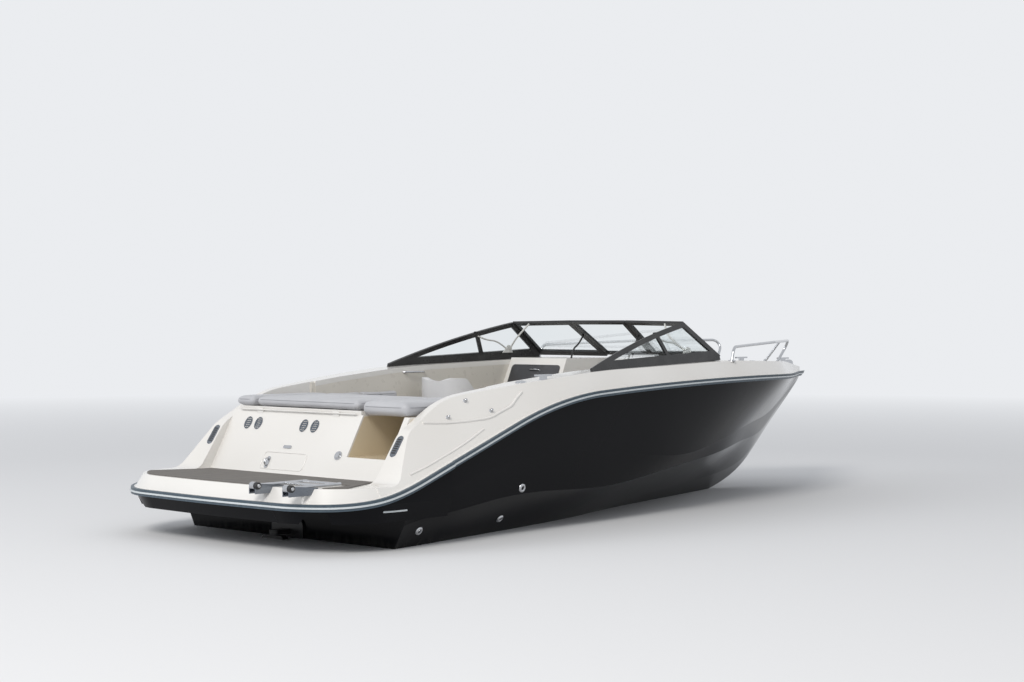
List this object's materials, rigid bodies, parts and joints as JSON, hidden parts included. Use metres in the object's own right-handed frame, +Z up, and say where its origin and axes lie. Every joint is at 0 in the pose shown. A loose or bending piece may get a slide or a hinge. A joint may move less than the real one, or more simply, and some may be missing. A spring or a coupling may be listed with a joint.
{
  "type": "bowrider speedboat",
  "caption": "Sterndrive bowrider speedboat afloat, with bathing platform, sunpad, wraparound screen, lounge and bow cockpit.",
  "frame": {"origin": "on the centreline, at the transom and at the waterline", "axes": "+X to the bow, +Y to port, +Z up"},
  "size_m": [7.381, 2.5976, 2.3492],
  "materials": {
    "black_plastic": "black plastic",
    "door_panel": "dark grey panel",
    "drive_paint": "black painted aluminium",
    "screen_frame": "black anodised frame",
    "screen_glass": "tinted safety glass",
    "hull_gelcoat": "black gelcoat, polished",
    "rail_insert": "pale rail insert",
    "engine_iron": "painted cast iron",
    "liner_gelcoat": "off-white gelcoat",
    "mat_foam": "grey-brown foam decking",
    "rail_vinyl": "blue-grey rub rail",
    "stainless": "polished stainless steel",
    "cushion_vinyl": "pale grey marine vinyl",
    "deck_gelcoat": "white gelcoat",
    "bearer_core": "glassed-over bearers"
  },
  "bodies": {
    "boat": {"hull": "hull_gelcoat", "deck": "deck_gelcoat", "rub_rail": "rail_vinyl", "rub_rail_insert": "rail_insert", "cockpit_liner": "liner_gelcoat", "bow_liner": "liner_gelcoat", "platform_mat": "mat_foam", "filler_cushion": "cushion_vinyl", "engine_bearers": "bearer_core", "engine": "engine_iron", "lounge_base": "deck_gelcoat", "lounge_seat_cushion": "cushion_vinyl", "lounge_back_cushions": "cushion_vinyl", "port_console": "deck_gelcoat", "helm_console": "deck_gelcoat", "screen_frame_port": "screen_frame", "screen_frame_starboard": "screen_frame", "screen_glass_port": "screen_glass", "screen_glass_starboard": "screen_glass", "helm_column": "black_plastic", "port_seat_pedestal": "stainless", "helm_seat_pedestal": "stainless", "bow_seat_base": "deck_gelcoat", "bow_seat_cushion": "cushion_vinyl", "bow_rail_port": "stainless", "bow_rail_starboard": "stainless", "transom_plate": "drive_paint", "ladder_brackets": "stainless", "cleats": "stainless", "fittings": "stainless"},
    "sunpad_hatch_body": {"sunpad_hatch": "deck_gelcoat", "sunpad_cushion": "cushion_vinyl"},
    "passage_gate_body": {"passage_gate": "deck_gelcoat"},
    "console_door_body": {"console_door": "door_panel"},
    "screen_door": {"screen_door_frame": "screen_frame", "screen_door_glass": "screen_glass"},
    "wheel_body": {"steering_wheel": "black_plastic"},
    "port_seat": {"port_seat_shell": "deck_gelcoat", "port_seat_cushion": "cushion_vinyl"},
    "helm_seat": {"helm_seat_shell": "deck_gelcoat", "helm_seat_cushion": "cushion_vinyl"},
    "gimbal": {"gimbal_ring": "drive_paint"},
    "drive": {"drive_leg": "drive_paint"},
    "propeller_body": {"propeller": "stainless"},
    "ladder_body": {"ladder": "stainless"}
  },
  "joints": [
    {"name": "hatch_hinge", "type": "hinge", "parent": "boat", "child": "sunpad_hatch_body", "pos_m": [0.277, 0, 0.893], "axis": [0, -1, 0], "range_deg": [0, 60]},
    {"name": "gate_hinge", "type": "hinge", "parent": "boat", "child": "passage_gate_body", "pos_m": [1.124, -0.897, 0.6], "axis": [0, 0, -1], "range_deg": [0, 90]},
    {"name": "console_door_hinge", "type": "hinge", "parent": "boat", "child": "console_door_body", "pos_m": [3.797, 0.267, 0.7], "axis": [0, 0, 1], "range_deg": [0, 90]},
    {"name": "screen_door_hinge", "type": "hinge", "parent": "boat", "child": "screen_door", "pos_m": [3.94213, 0.267, 1.27958], "axis": [-0.8441, 0.0688, 0.5317], "range_deg": [0, 150]},
    {"name": "port_seat_swivel", "type": "hinge", "parent": "boat", "child": "port_seat", "pos_m": [2.35, 0.585, 0.6], "axis": [0, 0, 1], "continuous": true},
    {"name": "helm_seat_swivel", "type": "hinge", "parent": "boat", "child": "helm_seat", "pos_m": [2.35, -0.585, 0.6], "axis": [0, 0, 1], "continuous": true},
    {"name": "drive_steer", "type": "hinge", "parent": "boat", "child": "gimbal", "pos_m": [-0.13, 0, -0.06], "axis": [0, 0, 1], "range_deg": [-25, 25]},
    {"name": "drive_tilt", "type": "hinge", "parent": "gimbal", "child": "drive", "pos_m": [-0.13, 0, -0.06], "axis": [0, 1, 0], "range_deg": [-4, 45]},
    {"name": "prop_spin", "type": "hinge", "parent": "drive", "child": "propeller_body", "pos_m": [-0.6, 0, -0.6], "axis": [1, 0, 0], "continuous": true},
    {"name": "wheel_turn", "type": "hinge", "parent": "boat", "child": "wheel_body", "pos_m": [3.215, -0.59, 0.985], "axis": [0.88, 0, -0.475], "range_deg": [-450, 450]},
    {"name": "ladder_swing", "type": "hinge", "parent": "boat", "child": "ladder_body", "pos_m": [-0.785, 0, 0.455], "axis": [0, -1, 0], "range_deg": [0, 255]}
  ],
  "couplings": [
    {"joint": "wheel_turn", "follows": "drive_steer", "ratio": 18}
  ]
}
